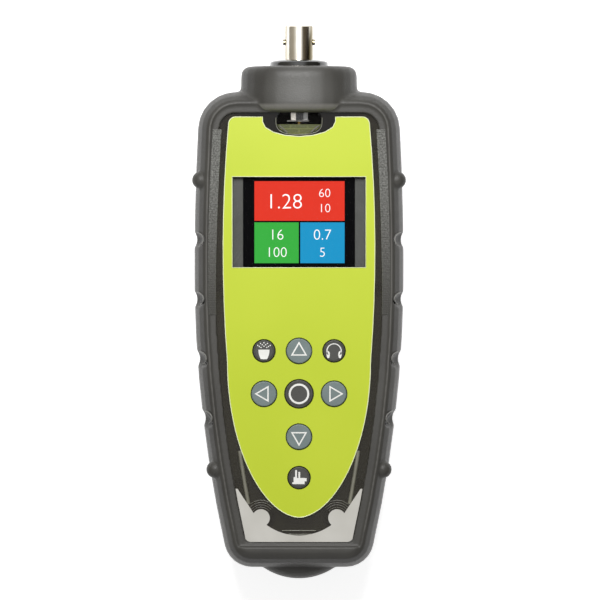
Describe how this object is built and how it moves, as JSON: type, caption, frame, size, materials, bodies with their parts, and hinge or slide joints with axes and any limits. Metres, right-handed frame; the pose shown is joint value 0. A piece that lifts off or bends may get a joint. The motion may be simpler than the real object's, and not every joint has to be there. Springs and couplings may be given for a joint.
{
  "type": "handheld vibration meter",
  "caption": "Handheld vibration meter in a rubber boot: lime face with round keys and a colour display, bayonet sensor socket at the top, screwed battery door in the back.",
  "frame": {"origin": "middle of the whole meter's length and width, on the plane of its back", "axes": "+X to the meter's right as its face is seen, +Y towards the sensor connector, +Z out of its face"},
  "size_m": [0.0734, 0.1898, 0.042],
  "materials": {
    "boot_rubber": "satin moulded rubber, finely stippled beside the face",
    "smoked_plastic": "glossy smoked transparent plastic",
    "rear_plastic": "fine matt",
    "seal_rubber": "matt",
    "screw_steel": "turned",
    "insert_brass": "turned",
    "label_film": "printed film, satin",
    "pale_plastic": "satin",
    "window_plastic": "clear, glossy",
    "display_grey": "satin",
    "display_glass": "black, glossy",
    "ribbon_film": "satin film",
    "board_olive": "satin lacquer",
    "chip_black": "matt",
    "switch_pale": "satin",
    "key_dark": "satin",
    "key_blue": "satin",
    "collar_black": "glossy",
    "connector_nickel": "nickel plated, polished",
    "insulator_white": "waxy",
    "contact_gold": "gold plated",
    "contact_nickel": "nickel plated spring steel",
    "cell_sleeve": "plain printed sleeve"
  },
  "bodies": {
    "housing": {"boot": "boot_rubber", "front_case": "smoked_plastic", "rear_case": "rear_plastic", "case_seal": "seal_rubber", "case_screws": "screw_steel", "thread_inserts": "insert_brass", "face_label": "label_film", "lower_trim": "pale_plastic", "display_window": "window_plastic", "display_frame": "display_grey", "display_panel": "display_glass", "display_ribbon": "ribbon_film", "main_board": "board_olive", "board_chips": "chip_black", "key_switches": "switch_pale", "connector_collar": "collar_black", "connector_shell": "connector_nickel", "connector_insulator": "insulator_white", "connector_contact": "contact_gold", "connector_nut": "connector_nickel", "connector_washer": "connector_nickel", "door_seal": "seal_rubber", "battery_cell_left": "cell_sleeve", "battery_cell_right": "cell_sleeve", "battery_contacts": "contact_nickel"},
    "light_key": {"key_light": "key_dark"},
    "up_key": {"key_up": "key_blue"},
    "headphones_key": {"key_headphones": "key_dark"},
    "left_key": {"key_left": "key_blue"},
    "middle_key": {"key_middle": "key_dark"},
    "right_key": {"key_right": "key_blue"},
    "down_key": {"key_down": "key_blue"},
    "machine_key": {"key_machine": "key_dark"},
    "door": {"battery_door": "rear_plastic"},
    "upper_screw": {"door_screw_upper": "screw_steel"},
    "lower_screw": {"door_screw_lower": "screw_steel"}
  },
  "joints": [
    {"name": "light_press", "type": "slide", "parent": "housing", "child": "light_key", "axis": [0, 0, -1], "range_m": [0, 0.0005], "stiffness_N_per_m": 600},
    {"name": "up_press", "type": "slide", "parent": "housing", "child": "up_key", "axis": [0, 0, -1], "range_m": [0, 0.0005], "stiffness_N_per_m": 600},
    {"name": "headphones_press", "type": "slide", "parent": "housing", "child": "headphones_key", "axis": [0, 0, -1], "range_m": [0, 0.0005], "stiffness_N_per_m": 600},
    {"name": "left_press", "type": "slide", "parent": "housing", "child": "left_key", "axis": [0, 0, -1], "range_m": [0, 0.0005], "stiffness_N_per_m": 600},
    {"name": "middle_press", "type": "slide", "parent": "housing", "child": "middle_key", "axis": [0, 0, -1], "range_m": [0, 0.0005], "stiffness_N_per_m": 600},
    {"name": "right_press", "type": "slide", "parent": "housing", "child": "right_key", "axis": [0, 0, -1], "range_m": [0, 0.0005], "stiffness_N_per_m": 600},
    {"name": "down_press", "type": "slide", "parent": "housing", "child": "down_key", "axis": [0, 0, -1], "range_m": [0, 0.0005], "stiffness_N_per_m": 600},
    {"name": "machine_press", "type": "slide", "parent": "housing", "child": "machine_key", "axis": [0, 0, -1], "range_m": [0, 0.0005], "stiffness_N_per_m": 600},
    {"name": "door_lift", "type": "slide", "parent": "housing", "child": "door", "axis": [0, 0, -1], "range_m": [0, 0.02]},
    {"name": "upper_screw_turn", "type": "hinge", "parent": "door", "child": "upper_screw", "pos_m": [0, 0.00445, 0.0027], "axis": [0, 0, 1], "continuous": true},
    {"name": "lower_screw_turn", "type": "hinge", "parent": "door", "child": "lower_screw", "pos_m": [0, -0.06235, 0.0027], "axis": [0, 0, 1], "continuous": true}
  ]
}
